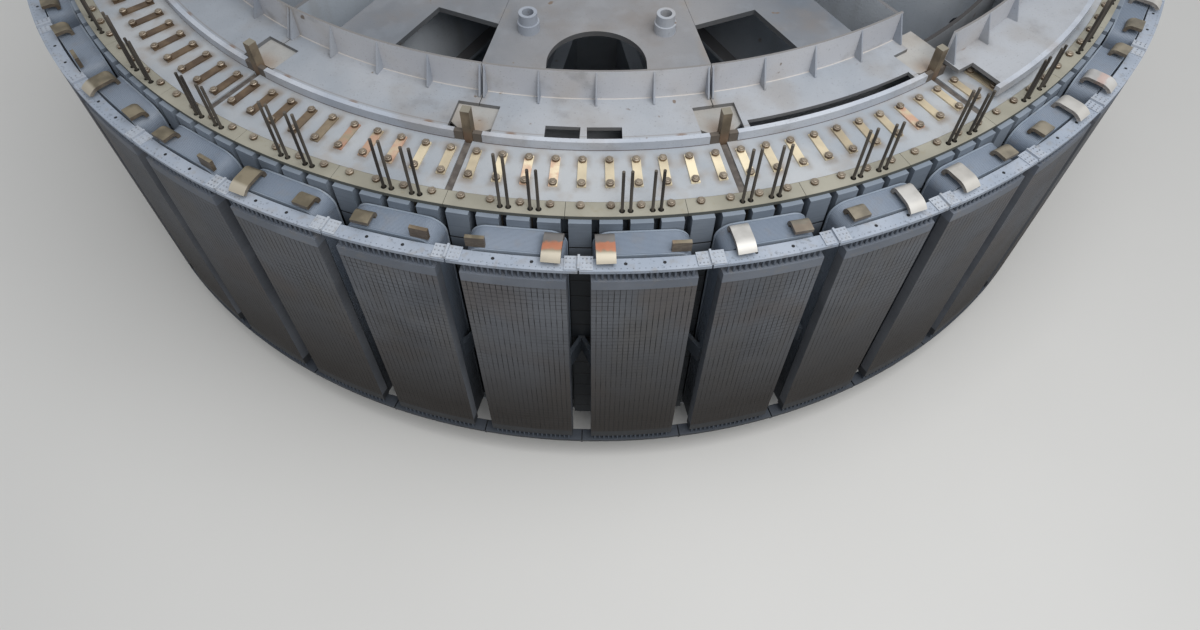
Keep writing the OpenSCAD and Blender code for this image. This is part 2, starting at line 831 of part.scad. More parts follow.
// Each ring segment is brazed to the bars of its pole. It is cut at the joints between poles.
module damper_ring() {
    half = (bars_per_pole - 1) / 2;
    linear_extrude(ring_t) around(pole_count, pole_a) ring_sector(ring_in_r, face_r, pole_pitch, ring_joint);
    translate([0, 0, -bar_free]) linear_extrude(bar_free + ring_t / 2) around(pole_count, pole_a)
        for (k = [-half : half])
            rotate(k * bar_a) translate([bar_r, 0]) circle(d = bar_d, $fn = 16);
}

module upper_damper_ring() {
    color("lightsteelblue") translate([0, 0, ring_top - ring_t]) damper_ring();
}

module lower_damper_ring() {
    color("lightsteelblue") translate([0, 0, ring_low + ring_t]) mirror([0, 0, 1]) damper_ring();
}

// Flexible link over a ring joint: leaves with a fold in the middle
module ring_link() {
    link_l = ring_w + 8;
    fold_t = 14;
    translate([face_r - link_l - 6, 0, 0]) {
        translate([0, -link_w / 2, 0]) cube([link_l, link_w, link_t]);
        translate([0, -fold_t / 2, 0]) cube([link_l, fold_t, fold_h]);
    }
}

module upper_ring_links() {
    color("lightblue") around(pole_count, joint_a) translate([0, 0, ring_top]) ring_link();
}

module lower_ring_links() {
    color("lightblue") around(pole_count, joint_a) translate([0, 0, ring_low]) mirror([0, 0, 1]) ring_link();
}

// Wedge brace between two coils, with its point on the rim and a pad against each coil
module coil_braces() {
    half_a = pole_pitch / 2;
    side_u = coil_u + coil_depth - 12;
    pad_u = coil_u + coil_depth * 0.55;
    point_u = rim_r + 1;
    // Half the gap between the coils at the distance u along the joint
    function half_gap(u) = u * tan(half_a) - coil_w / 2 / cos(half_a) - seat;
    color("steelblue") around(pole_count, joint_a) translate([0, 0, brace_z - brace_h / 2])
        linear_extrude(brace_h)
            for (side = [0, 1])
                mirror([0, side]) polygon([
                    [point_u, 0], [point_u, brace_t], [pad_u, half_gap(pad_u) - 12],
                    [pad_u, half_gap(pad_u)], [side_u, half_gap(side_u)],
                    [side_u, half_gap(side_u) - brace_t], [point_u + brace_t, 0]
                ]);
}

hub();
coupling_flange();
top_flange();
spider_webs();
web_stiffeners();
spider_arms();
lower_deck();
spider_shell();
arched_deck_plates();
side_deck_plates();
bay_deck_plates();
pipe_stubs();
ledge_plates();
ledge_curb();
deck_skirt();
skirt_gussets();
rim_posts();
post_caps();
rim_keys();
rim_core();
rim_bottom_plates();
brake_track();
rim_sector_plates();
rim_joint_strips();
rim_outer_plates();
rim_straps();
strap_bolts();
outer_rim_bolts();
pole_keys();
pole_cores();
upper_pole_plates();
lower_pole_plates();
field_coils();
rim_side_collars();
shoe_side_collars();
folded_coil_tabs();
bent_coil_tabs();
upright_coil_tabs();
upper_damper_ring();
lower_damper_ring();
upper_ring_links();
lower_ring_links();
coil_braces();
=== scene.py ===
import math

import bpy
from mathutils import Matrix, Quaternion, Vector


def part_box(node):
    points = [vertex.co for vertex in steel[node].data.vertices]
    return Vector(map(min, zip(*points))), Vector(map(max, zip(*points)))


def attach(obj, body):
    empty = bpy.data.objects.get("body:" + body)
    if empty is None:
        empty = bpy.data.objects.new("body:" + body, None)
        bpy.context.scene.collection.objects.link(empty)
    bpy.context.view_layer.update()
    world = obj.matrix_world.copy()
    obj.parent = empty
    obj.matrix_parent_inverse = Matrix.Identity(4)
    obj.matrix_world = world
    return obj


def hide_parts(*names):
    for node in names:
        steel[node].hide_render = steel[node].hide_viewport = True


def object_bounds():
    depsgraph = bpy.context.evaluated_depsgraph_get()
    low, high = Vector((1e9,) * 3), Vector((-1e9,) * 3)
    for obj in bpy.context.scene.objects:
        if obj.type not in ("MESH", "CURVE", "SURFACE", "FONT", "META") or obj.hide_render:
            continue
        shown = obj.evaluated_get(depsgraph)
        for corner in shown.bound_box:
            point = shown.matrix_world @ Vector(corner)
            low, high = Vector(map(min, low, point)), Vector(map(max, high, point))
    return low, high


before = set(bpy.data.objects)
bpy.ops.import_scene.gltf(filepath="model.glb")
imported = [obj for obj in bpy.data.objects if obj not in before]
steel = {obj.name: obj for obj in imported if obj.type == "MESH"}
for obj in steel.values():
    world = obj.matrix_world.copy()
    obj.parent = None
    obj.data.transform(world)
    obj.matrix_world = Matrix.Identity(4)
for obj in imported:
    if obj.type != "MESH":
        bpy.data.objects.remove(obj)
cad_low, cad_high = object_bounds()

# Round the axis the rotor repeats by sectors, poles and rim bolts, at these pitches in degrees.
# The front lies in the middle of a sector, and a rim bolt stands at the middle of every pole.
sector_pitch, pole_pitch, bolt_pitch = 22.5, 9.0, 2.25
first_joint = sector_pitch / 2
first_pole = bolt_pitch * 1.5

# The rotor is seen from above and in front, steeply downwards, past the curve of its rim.
# The camera's place, lens and shift were fitted to points of the rim, poles and deck.
camera_turn, camera_dip, camera_roll = -0.009, 0.912, 0.014
camera_data = bpy.data.cameras.new("view")
camera = bpy.data.objects.new("view", camera_data)
bpy.context.scene.collection.objects.link(camera)
camera_data.sensor_width = 36.0
camera_data.lens = 24.77
camera_data.shift_y = -0.0675
camera_data.clip_end = 400.0
camera.location = (0.0, -7.992, 6.774)
camera.rotation_mode = "QUATERNION"
camera.rotation_quaternion = (
    Quaternion((0, 0, 1), camera_turn)
    @ Quaternion((1, 0, 0), math.pi / 2 - camera_dip)
    @ Quaternion((0, 0, 1), camera_roll)
)
bpy.context.scene.camera = camera
bpy.context.scene.view_settings.view_transform = "Standard"


class Wire:
    """A shader socket that can stand in a sum, so that a finish reads like its formula."""

    def __init__(self, tree, socket=None):
        self.tree, self.socket = tree, socket

    def node(self, kind, settings=None, sockets=None, out=0):
        made = self.tree.nodes.new("ShaderNode" + kind)
        for name, value in (settings or {}).items():
            setattr(made, name, value)
        for name, value in (sockets or {}).items():
            if isinstance(value, Wire):
                self.tree.links.new(value.socket, made.inputs[name])
            else:
                made.inputs[name].default_value = value
        return Wire(self.tree, made.outputs[out])

    def math(self, operation, *values):
        return self.node("Math", {"operation": operation}, dict(enumerate(values)))

    def __add__(self, other):
        return self.math("ADD", self, other)

    def __sub__(self, other):
        return self.math("SUBTRACT", self, other)

    def __rsub__(self, other):
        return self.math("SUBTRACT", other, self)

    def __mul__(self, other):
        return self.math("MULTIPLY", self, other)

    def __truediv__(self, other):
        return self.math("DIVIDE", self, other)

    __radd__ = __add__

    def one(self, operation, *others):
        return self.math(operation, self, *others)

    def rise(self, low, high):
        """0 below low, 1 above high, and smooth between."""
        kind = {"interpolation_type": "SMOOTHSTEP"}
        return self.node("MapRange", kind, {"Value": self, "From Min": low, "From Max": high})

    def near(self, value, reach, soft):
        """1 within the reach of a value and 0 away from it."""
        return 1 - (self - value).one("ABSOLUTE").rise(reach, reach + soft)

    def repeat(self, step, start=0.0):
        """Distance from the nearest of a row of lines, a step apart."""
        return (((self - start) / step + 0.5).one("FRACT") - 0.5).one("ABSOLUTE") * step

    def mix(self, first, second):
        """The first colour where this is 0 and the second where it is 1."""
        return self.node("Mix", {"data_type": "RGBA"}, {0: self, 6: first, 7: second}, 2)

    def chance(self):
        """A steady random value from 0 to 1 for each whole number."""
        return self.node("TexWhiteNoise", {"noise_dimensions": "1D"}, {"W": self}, "Value")

    def noise(self, scale, detail=4.0, stretch=(1, 1, 1)):
        where = self
        if stretch != (1, 1, 1):
            where = self.node("Mapping", {}, {"Vector": self, "Scale": stretch})
        return self.node("TexNoise", {}, {"Vector": where, "Scale": scale, "Detail": detail})

    def split(self):
        parts = self.node("SeparateXYZ", {}, {"Vector": self}).socket.node.outputs
        return [Wire(self.tree, part) for part in parts]


def facing_up(place, low, high):
    """0 on walls and below, and 1 on faces that look up."""
    return place.node("NewGeometry", out="Normal").split()[2].rise(low, high)


def start_finish(name):
    """A new finish, and the place on the object that its pattern reads."""
    material = bpy.data.materials.new(name)
    material.use_nodes = True
    return material, Wire(material.node_tree).node("TexCoord", out="Object")


def end_finish(material, colour, roughness, metallic=0.0, height=None, depth=0.001):
    """Joins the colour, roughness and relief of a finish to its shader."""
    tree = material.node_tree
    shader = tree.nodes["Principled BSDF"]
    for name, value in {"Base Color": colour, "Roughness": roughness, "Metallic": metallic}.items():
        if isinstance(value, Wire):
            tree.links.new(value.socket, shader.inputs[name])
        else:
            shader.inputs[name].default_value = value
    if height is not None:
        relief = Wire(tree).node("Bump", {}, {"Height": height, "Distance": depth, "Strength": 1.0})
        tree.links.new(relief.socket, shader.inputs["Normal"])
    return material


def rgb(red, green, blue):
    """A colour as it looks on a screen, from 0 to 255, for a shader's colour socket."""
    shades = [c / 255 for c in (red, green, blue)]
    return (*[c / 12.92 if c < 0.04 else ((c + 0.055) / 1.055) ** 2.4 for c in shades], 1.0)


def wear_finish(nodes, material):
    """Puts a finish on carried-over nodes of the frame."""
    for name in nodes:
        steel[name].data.materials.clear()
        steel[name].data.materials.append(material)


# The rotor stands on a plain pale floor, under a soft sky, a wide soft sun and one broad lamp.
# The floor is paler to the camera than to the light that it sends back.
bpy.ops.object.select_all(action="DESELECT")
bpy.ops.mesh.primitive_circle_add(vertices=96, radius=70.0, fill_type="NGON", location=(0, 0, -0.002))
floor = bpy.context.object
floor.name = "floor"
bpy.ops.object.transform_apply(location=True)
floor_finish, floor_place = start_finish("pale_floor")
floor_pale = floor_place.noise(0.35, 5).mix(rgb(216, 215, 212), rgb(224, 223, 220))
floor_seen = floor_place.node("LightPath", out="Is Camera Ray")
floor_tone = floor_seen.mix(rgb(158, 157, 155), floor_pale)
floor.data.materials.append(end_finish(floor_finish, floor_tone, 0.8))

sky = bpy.data.worlds.new("sky")
sky.use_nodes = True
bpy.context.scene.world = sky
sky_light = sky.node_tree.nodes["Background"]
sky_light.inputs["Color"].default_value = (0.93, 0.96, 1.0, 1.0)
sky_light.inputs["Strength"].default_value = 0.5
sun_data = bpy.data.lights.new("overhead_light", "SUN")
sun_data.energy = 0.58
sun_data.angle = math.radians(32)
sun_data.color = (1.0, 0.985, 0.96)
sun = bpy.data.objects.new("overhead_light", sun_data)
sun.rotation_euler = (math.radians(36), math.radians(20), 0.0)
bpy.context.scene.collection.objects.link(sun)
lamp_data = bpy.data.lights.new("broad_lamp", "AREA")
lamp_data.energy = 425.0
lamp_data.size = 6.0
lamp = bpy.data.objects.new("broad_lamp", lamp_data)
lamp.location = (2.2, -6.0, 9.4)
lamp.rotation_euler = Vector((-1.9, 2.6, -8.0)).to_track_quat("-Z", "Y").to_euler()
bpy.context.scene.collection.objects.link(lamp)


# The spider is welded from thick plate: a hub drum between two machined flanges, sixteen radial
# webs with stiffeners, a round wall with a post at each web, slanting arms and a lower deck.
# It wears a grey primer, rubbed, streaked where water ran down it, and dull with dust on top; the round
# wall's top edge is painted dark, as shade.
def primer(name, base, pale, stain):
    material, place = start_finish(name)
    clouds = place.noise(0.9, 6)
    runs = place.noise(5.0, 5, (1, 1, 0.16))
    grit = place.noise(60.0, 3)
    blots = place.noise(7.0, 5)
    colour = clouds.rise(0.38, 0.66).mix(base, pale)
    colour = (runs.rise(0.5, 0.78) * 0.4).mix(colour, stain)
    colour = (blots.rise(0.66, 0.74) * 0.5).mix(colour, rgb(122, 98, 76))
    colour = (grit.rise(0.6, 0.8) * 0.35).mix(colour, rgb(96, 96, 98))
    rough = clouds * 0.22 + 0.5 + blots.rise(0.6, 0.8) * 0.1
    return material, place, colour, rough, grit * 0.5 + clouds


web_look, web_place, web_tone, web_rough, web_relief = primer(
    "web_primer", rgb(160, 168, 177), rgb(184, 189, 195), rgb(140, 138, 136)
)
web_top = facing_up(web_place, 0.8, 0.95) * web_place.split()[2].rise(2.0, 2.2)
web_tone = web_top.mix(web_tone, rgb(104, 104, 106))
web_primer = end_finish(web_look, web_tone, web_rough, 0.0, web_relief, 0.004)
wear_finish(
    ["spider_webs", "web_stiffeners", "spider_arms", "lower_deck", "rim_posts", "hub"],
    web_primer,
)
shell_look, shell_place, shell_tone, shell_rough, shell_relief = primer(
    "shell_primer", rgb(150, 155, 162), rgb(172, 175, 179), rgb(128, 124, 120)
)
# The round wall's top edge is painted near black, as the shade in the gap under the deck.
shell_tone = facing_up(shell_place, 0.8, 0.95).mix(shell_tone, rgb(62, 60, 60))
wear_finish(["spider_shell"], end_finish(shell_look, shell_tone, shell_rough, 0.0, shell_relief, 0.004))

flange_finish, flange_place = start_finish("machined_flange")
turn_marks = flange_place.noise(9.0, 4, (1, 1, 30))
flange_tone = turn_marks.rise(0.4, 0.7).mix(rgb(118, 118, 120), rgb(146, 146, 148))
wear_finish(
    ["coupling_flange", "top_flange"],
    end_finish(flange_finish, flange_tone, 0.3 + turn_marks * 0.25, 0.8, turn_marks, 0.001),
)


# The deck closes the spider's top: arched plates, side plates with slanting strips, and short
# plates at the open bays. They are pale grey, scuffed along the seams, with dust in soft patches
# and a few rusty drips, and their cut edges are painted dark, as shade.
def round_axis(place):
    """Distance from the rotor's axis, turn from -Y towards +X in degrees, and height."""
    x, y, z = place.split()
    radius = (x * x + y * y).one("SQRT")
    turn = x.one("ARCTAN2", y * -1.0) * (180 / math.pi)
    return radius, turn, z


def along_circle(radius, turn, step, start=0.0):
    """Distance along the circle from the nearest of a row of places, a step of degrees apart."""
    return turn.repeat(step, start) * radius * (math.pi / 180)


def deck_paint(name, base, pale, dirt, dust_scale=0.55, seams=True):
    material, place = start_finish(name)
    radius, turn, z = round_axis(place)
    dust = place.noise(dust_scale, 7)
    smears = place.noise(2.6, 7)
    scuffs = place.noise(6.5, 8)
    grit = place.noise(75.0, 3)
    drops = place.noise(10.0, 2)
    colour = dust.rise(0.36, 0.66).mix(base, pale)
    colour = (smears.rise(0.46, 0.70) * 0.45).mix(colour, dirt)
    colour = (scuffs.rise(0.50, 0.68) * 0.06).mix(colour, rgb(182, 190, 200))
    rubbed = (1 - scuffs.rise(0.28, 0.48)) * smears.rise(0.4, 0.6)
    colour = (rubbed * 0.35).mix(colour, rgb(112, 112, 114))
    if seams:
        joint = along_circle(radius, turn, sector_pitch, first_joint)
        seam_dirt = (1 - joint.rise(0.002, 0.07)) * smears.rise(0.35, 0.6)
        colour = (seam_dirt * 0.6).mix(colour, rgb(138, 128, 116))
    colour = (drops.rise(0.74, 0.78) * 0.8).mix(colour, rgb(106, 88, 70))
    colour = (grit.rise(0.60, 0.76) * 0.35).mix(colour, rgb(92, 90, 88))
    return material, (radius, turn, z), colour, 0.5 + dust * 0.25, grit * 0.4 + smears


deck_look, _, deck_tone, deck_rough, deck_relief = deck_paint(
    "deck_paint", rgb(98, 104, 112), rgb(132, 132, 134), rgb(118, 109, 101)
)
# Faces that do not look up, the plates' cut edges, are painted dark grey, as shade.
deck_edge_shade = 1 - facing_up(Wire(deck_look.node_tree), 0.3, 0.7)
deck_tone = (deck_edge_shade * 0.75).mix(deck_tone, rgb(58, 60, 62))
wear_finish(
    ["arched_deck_plates", "side_deck_plates", "bay_deck_plates"],
    end_finish(deck_look, deck_tone, deck_rough, 0.0, deck_relief, 0.003),
)

# The ledge runs round the deck's foot in sixteen segments, each with its skirt, gussets and curb.
# Its plates are a pale blue-grey, with a pale weld line at the skirt's foot, brown tack welds
# and dirt at the curb. The deck's flanged pipe stubs wear the gussets' paint.
ledge_look, ledge_cell, ledge_tone, ledge_rough, ledge_relief = deck_paint(
    "ledge_paint", rgb(146, 152, 160), rgb(164, 167, 172), rgb(142, 136, 130), 0.8
)
ledge_radius, ledge_turn, _ = ledge_cell
skirt_foot_r, curb_in_r, tack_r = 3.874, 4.230, 4.245
weld_foot = ledge_radius.near(skirt_foot_r, 0.003, 0.006)
ledge_tone = (weld_foot * 0.6).mix(ledge_tone, rgb(206, 198, 188))
tack_side = along_circle(ledge_radius, ledge_turn, sector_pitch / 3)
tack_out = ledge_radius - tack_r
tack = (tack_side * tack_side + tack_out * tack_out * 3.0).one("SQRT")
tack = (1 - tack.rise(0.012, 0.05)) * (0.35 + ledge_relief * 0.5)
ledge_tone = tack.mix(ledge_tone, rgb(120, 92, 70))
curb_line = ledge_radius.near(curb_in_r, 0.002, 0.005)
ledge_tone = (curb_line * 0.45).mix(ledge_tone, rgb(122, 112, 104))
# The ledge plates' cut edges, the faces that do not look up, are painted dark, as shade.
ledge_edge_shade = 1 - facing_up(Wire(ledge_look.node_tree), 0.3, 0.7)
ledge_tone = (ledge_edge_shade * 0.7).mix(ledge_tone, rgb(84, 82, 80))
wear_finish(
    ["ledge_plates"],
    end_finish(ledge_look, ledge_tone, ledge_rough, 0.0, ledge_relief + weld_foot, 0.003),
)
skirt_look, _, skirt_tone, skirt_rough, skirt_relief = deck_paint(
    "skirt_paint", rgb(178, 180, 186), rgb(190, 191, 195), rgb(170, 162, 154), 1.3
)
# The skirt's top edge is painted darker, as shade, so that the light from above does not make it bright.
skirt_tone = facing_up(Wire(skirt_look.node_tree), 0.8, 0.95).mix(skirt_tone, rgb(122, 120, 119))
wear_finish(["deck_skirt"], end_finish(skirt_look, skirt_tone, skirt_rough, 0.0, skirt_relief, 0.003))
gusset_look, _, gusset_tone, gusset_rough, gusset_relief = deck_paint(
    "gusset_paint", rgb(140, 146, 156), rgb(158, 163, 171), rgb(146, 140, 134), 1.3, seams=False
)
wear_finish(
    ["skirt_gussets", "pipe_stubs"],
    end_finish(gusset_look, gusset_tone, gusset_rough, 0.0, gusset_relief, 0.003),
)
curb_look, curb_cell, curb_tone, curb_rough, curb_relief = deck_paint(
    "curb_paint", rgb(164, 171, 182), rgb(184, 189, 197), rgb(146, 136, 126), 1.6
)
curb_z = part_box("ledge_curb")[0].z
curb_foot = 1 - curb_cell[2].rise(curb_z + 0.004, curb_z + 0.010)
curb_tone = (curb_foot * 0.8).mix(curb_tone, rgb(78, 56, 50))
wear_finish(["ledge_curb"], end_finish(curb_look, curb_tone, curb_rough, 0.0, curb_relief, 0.003))

# A pale cap plate shows in each notch, dusty and stained with rust round the key. Beside the key
# the curb is closed by two short bars of bare brown steel.
cap_look, cap_cell, cap_tone, cap_rough, cap_relief = deck_paint(
    "cap_paint", rgb(156, 156, 154), rgb(176, 174, 170), rgb(150, 138, 124), 1.8, seams=False
)
cap_radius, cap_turn, _ = cap_cell
cap_bar = cap_radius.rise(curb_in_r, curb_in_r + 0.002)
key_side = along_circle(cap_radius, cap_turn, sector_pitch, first_joint)
key_near = (1 - key_side.rise(0.03, 0.13)) * cap_radius.rise(4.06, 4.20)
cap_tone = (key_near * 0.55).mix(cap_tone, rgb(140, 114, 88))
cap_tone = cap_bar.mix(cap_tone, rgb(94, 86, 78))
wear_finish(["post_caps"], end_finish(cap_look, cap_tone, cap_rough, 0.0, cap_relief, 0.003))

# Square keys are wedged between the spider's posts and the rim at each sector joint. They stick
# out over the plates, brown with old preservative and rubbed bright along the corners.
key_finish, key_place = start_finish("key_brown")
key_clouds = key_place.noise(7.0, 6)
key_runs = key_place.noise(26.0, 4, (1, 1, 0.1))
key_tone = key_clouds.rise(0.36, 0.64).mix(rgb(92, 82, 68), rgb(124, 112, 94))
key_tone = (key_runs.rise(0.55, 0.75) * 0.5).mix(key_tone, rgb(74, 58, 44))
key_height, key_top = key_place.split()[2], 3.119
key_tone = (key_height.rise(key_top - 0.003, key_top) * 0.8).mix(key_tone, rgb(136, 132, 120))
key_tone = ((1 - key_height.rise(2.90, 2.98)) * 0.5).mix(key_tone, rgb(126, 98, 78))
wear_finish(["rim_keys"], end_finish(key_finish, key_tone, 0.45 + key_runs * 0.3, 0.1, key_runs, 0.002))


# The rim is a stack of thin steel sheets pressed together by its bolts. Narrow air ducts part
# the stack into packets, and show as dark lines on the teeth. Blue-grey varnish covers it all.
rim_finish, rim_place = start_finish("rim_varnish")
rim_z = rim_place.split()[2]
duct_pitch, top_duct, stack_top = 0.184, 2.590, 2.8345
rim_sheets = rim_place.noise(4.0, 3, (1, 1, 60))
rim_clouds = rim_place.noise(1.6, 5)
rim_duct = 1 - rim_z.repeat(duct_pitch, top_duct).rise(0.004, 0.008)
rim_duct = rim_duct * (1 - rim_z.rise(2.60, 2.62)) * rim_z.rise(0.36, 0.40)
rim_tone = rim_clouds.rise(0.36, 0.68).mix(rgb(112, 122, 134), rgb(130, 139, 150))
rim_tone = (rim_sheets.rise(0.5, 0.7) * 0.35).mix(rim_tone, rgb(84, 92, 104))
rim_tone = rim_z.rise(stack_top - 0.001, stack_top).mix(rim_tone, rgb(128, 138, 150))
# Low down between the poles the rim is painted nearly black, as shade.
rim_tone = ((1 - rim_z.rise(2.40, 2.68)) * 0.88).mix(rim_tone, rgb(17, 21, 24))
rim_tone = rim_duct.mix(rim_tone, rgb(16, 17, 20))
rim_relief = rim_sheets * 0.3 - rim_duct
wear_finish(["rim_core"], end_finish(rim_finish, rim_tone, 0.42 + rim_clouds * 0.2, 0.0, rim_relief, 0.004))
brake_finish, brake_place = start_finish("brake_track")
brake_marks = brake_place.noise(14.0, 5)
brake_tone = brake_marks.rise(0.35, 0.7).mix(rgb(96, 94, 92), rgb(124, 122, 120))
wear_finish(
    ["brake_track"],
    end_finish(brake_finish, brake_tone, 0.4 + brake_marks * 0.2, 0.5, brake_marks),
)

# End plates in sixteen sectors clamp the stack, with a dark joint strip between every two, and
# cream coloured plates form the outer band, one for each pole. Round the bolts lie dust and painted shadow.
plate_finish, plate_place = start_finish("rim_plate_paint")
plate_radius, plate_turn, _ = round_axis(plate_place)
plate_dust = plate_place.noise(1.4, 7)
plate_smears = plate_place.noise(6.0, 6)
plate_grit = plate_place.noise(85.0, 3)
plate_tone = plate_dust.rise(0.36, 0.66).mix(rgb(152, 158, 165), rgb(172, 175, 178))
plate_tone = (plate_smears.rise(0.48, 0.72) * 0.5).mix(plate_tone, rgb(156, 148, 140))
inner_strap_r, outer_strap_r = 4.381, 4.580
# Round each bolt the plate is painted brown, as dust and as the nut's shadow.
bolt_dust_and_shadow = 1 - along_circle(plate_radius, plate_turn, bolt_pitch, bolt_pitch / 2).rise(0.03, 0.075)
on_circles = plate_radius.near(inner_strap_r, 0.03, 0.05) + plate_radius.near(outer_strap_r, 0.03, 0.05)
bolt_dust_and_shadow = bolt_dust_and_shadow * on_circles
plate_tone = (bolt_dust_and_shadow * plate_smears.rise(0.3, 0.6) * 0.6).mix(plate_tone, rgb(126, 112, 96))
plate_tone = (plate_grit.rise(0.64, 0.8) * 0.3).mix(plate_tone, rgb(104, 100, 96))
rim_plate_paint = end_finish(
    plate_finish, plate_tone, 0.46 + plate_dust * 0.24, 0.0, plate_grit * 0.4 + plate_smears, 0.002
)
wear_finish(["rim_sector_plates", "rim_bottom_plates"], rim_plate_paint)

strip_finish, strip_place = start_finish("joint_strip")
strip_marks = strip_place.noise(18.0, 5)
strip_tone = strip_marks.rise(0.35, 0.7).mix(rgb(86, 80, 76), rgb(112, 106, 100))
wear_finish(
    ["rim_joint_strips"],
    end_finish(strip_finish, strip_tone, 0.55 + strip_marks * 0.2, 0.2, strip_marks),
)

cream_finish, cream_place = start_finish("cream_paint")
cream_radius, _, cream_z = round_axis(cream_place)
cream_clouds = cream_place.noise(2.4, 7)
cream_marks = cream_place.noise(16.0, 5)
cream_tone = cream_clouds.rise(0.36, 0.66).mix(rgb(140, 137, 124), rgb(156, 153, 140))
cream_tone = (cream_marks.rise(0.56, 0.74) * 0.45).mix(cream_tone, rgb(140, 132, 112))
cream_in_r, cream_top = 4.717, 2.862
cream_edge = (1 - cream_radius.rise(cream_in_r, cream_in_r + 0.005)) * 0.5
cream_tone = cream_edge.mix(cream_tone, rgb(120, 112, 96))
# The cream plates' front faces are painted dark, as bare steel and as shade.
cream_face_bare_and_shade = 1 - cream_z.rise(cream_top - 0.002, cream_top)
cream_tone = (cream_face_bare_and_shade * 0.85).mix(cream_tone, rgb(58, 62, 60))
wear_finish(
    ["rim_outer_plates"],
    end_finish(cream_finish, cream_tone, 0.5 + cream_marks * 0.2, 0.0, cream_marks, 0.002),
)


# Locking straps tie the rim bolts in pairs. They are brass, dull and brown on one side of the
# rotor and rubbed yellow on the other, with a painted highlight near the front, and a few still wear red
# marking paint.
strap_finish, strap_place = start_finish("strap_brass")
strap_turn = round_axis(strap_place)[1]
strap_chance = ((strap_turn / bolt_pitch).one("FLOOR") + 160.0).chance()
strap_clouds = strap_place.noise(9.0, 5)
# From the front to the right the straps are painted near white, as rubbed brass and as a painted highlight.
strap_rub_and_highlight = strap_turn.rise(-30.0, -6.0) * (1 - strap_turn.rise(60.0, 120.0))
strap_rub_and_highlight = strap_rub_and_highlight * (0.6 + strap_chance * 0.6)
strap_rub_and_highlight = strap_rub_and_highlight * (1 - strap_turn.rise(8.0, 26.0) * 0.45)
strap_tone = strap_clouds.rise(0.36, 0.66).mix(rgb(88, 72, 57), rgb(114, 96, 76))
strap_tone = (strap_rub_and_highlight * (0.7 + strap_clouds * 0.5)).mix(strap_tone, rgb(246, 232, 200))
strap_red = strap_chance.rise(0.80, 0.82) * strap_clouds.rise(0.42, 0.6) * 0.55
strap_tone = strap_red.mix(strap_tone, rgb(190, 128, 110))
wear_finish(
    ["rim_straps"],
    end_finish(strap_finish, strap_tone, 0.34 + strap_clouds * 0.3, 0.25, strap_clouds, 0.001),
)


# Every rim bolt ends in a hexagon nut, chamfered on top, with the bolt's turned end just over it.
# The steel is brown with old grease, and its tops and upper corners are painted light, as a highlight.
bolt_finish, bolt_place = start_finish("bolt_steel")
bolt_clouds = bolt_place.noise(11.0, 5)
bolt_marks = bolt_place.noise(120.0, 3)
# Faces that look up are painted light, as a highlight.
bolt_top_highlight = facing_up(bolt_place, 0.2, 0.8)
bolt_tone = bolt_clouds.rise(0.36, 0.66).mix(rgb(88, 70, 54), rgb(124, 106, 86))
bolt_tone = (bolt_marks.rise(0.56, 0.74) * 0.5).mix(bolt_tone, rgb(80, 60, 44))
bolt_tone = (bolt_top_highlight * (0.1 + bolt_clouds * 0.8)).mix(bolt_tone, rgb(180, 171, 156))
bolt_steel = end_finish(bolt_finish, bolt_tone, 0.3 + bolt_clouds * 0.3, 0.5, bolt_marks, 0.0006)


def rim_bolt_row(name, radius, foot, spins):
    """A row of rim bolts on one circle: four nuts with their own turns, repeated for each pole."""
    nut_r, nut_h, chamfer = 0.0288, 0.024, 0.005
    end_r, end_h, end_edge = 0.0165, 0.0045, 0.002
    bpy.ops.object.select_all(action="DESELECT")
    for number, spin in enumerate(spins):
        around = math.radians((number + 0.5) * bolt_pitch)
        x, y = radius * math.sin(around), -radius * math.cos(around)
        bpy.ops.mesh.primitive_cylinder_add(
            vertices=6, radius=nut_r, depth=nut_h, location=(x, y, foot + nut_h / 2),
            rotation=(0, 0, math.radians(spin)),
        )
        nut = bpy.context.object
        nut.name = name
        bpy.ops.object.transform_apply(location=True, rotation=True)
        for face in nut.data.polygons:
            face.select = face.center.z > foot + nut_h * 0.95
        bpy.ops.object.mode_set(mode="EDIT")
        bpy.ops.mesh.bevel(offset=chamfer, segments=1, affect="EDGES")
        bpy.ops.mesh.select_all(action="DESELECT")
        bpy.ops.mesh.primitive_circle_add(
            vertices=10, radius=end_r, fill_type="NGON", location=(x, y, foot + nut_h - 0.0005)
        )
        bpy.ops.mesh.extrude_region_move(TRANSFORM_OT_translate={"value": (0, 0, end_h)})
        bpy.ops.mesh.extrude_region_move(TRANSFORM_OT_translate={"value": (0, 0, end_edge)})
        bpy.ops.transform.resize(value=(0.8, 0.8, 1), center_override=(x, y, foot + nut_h + end_h))
        bpy.ops.object.mode_set(mode="OBJECT")
        if number:
            first.select_set(True)
            bpy.context.view_layer.objects.active = first
            bpy.ops.object.join()
        first = bpy.context.object
        bpy.ops.object.select_all(action="DESELECT")
    first.select_set(True)
    bpy.ops.object.mode_set(mode="EDIT")
    bpy.ops.mesh.select_all(action="SELECT")
    bpy.ops.mesh.normals_make_consistent(inside=False)
    bpy.ops.mesh.spin(steps=39, dupli=True, angle=math.radians(351), center=(0, 0, 0), axis=(0, 0, 1))
    bpy.ops.object.mode_set(mode="OBJECT")
    bpy.ops.object.transform_apply(location=True, rotation=True, scale=True)
    first.data.materials.append(bolt_steel)
    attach(first, "root")
    return first


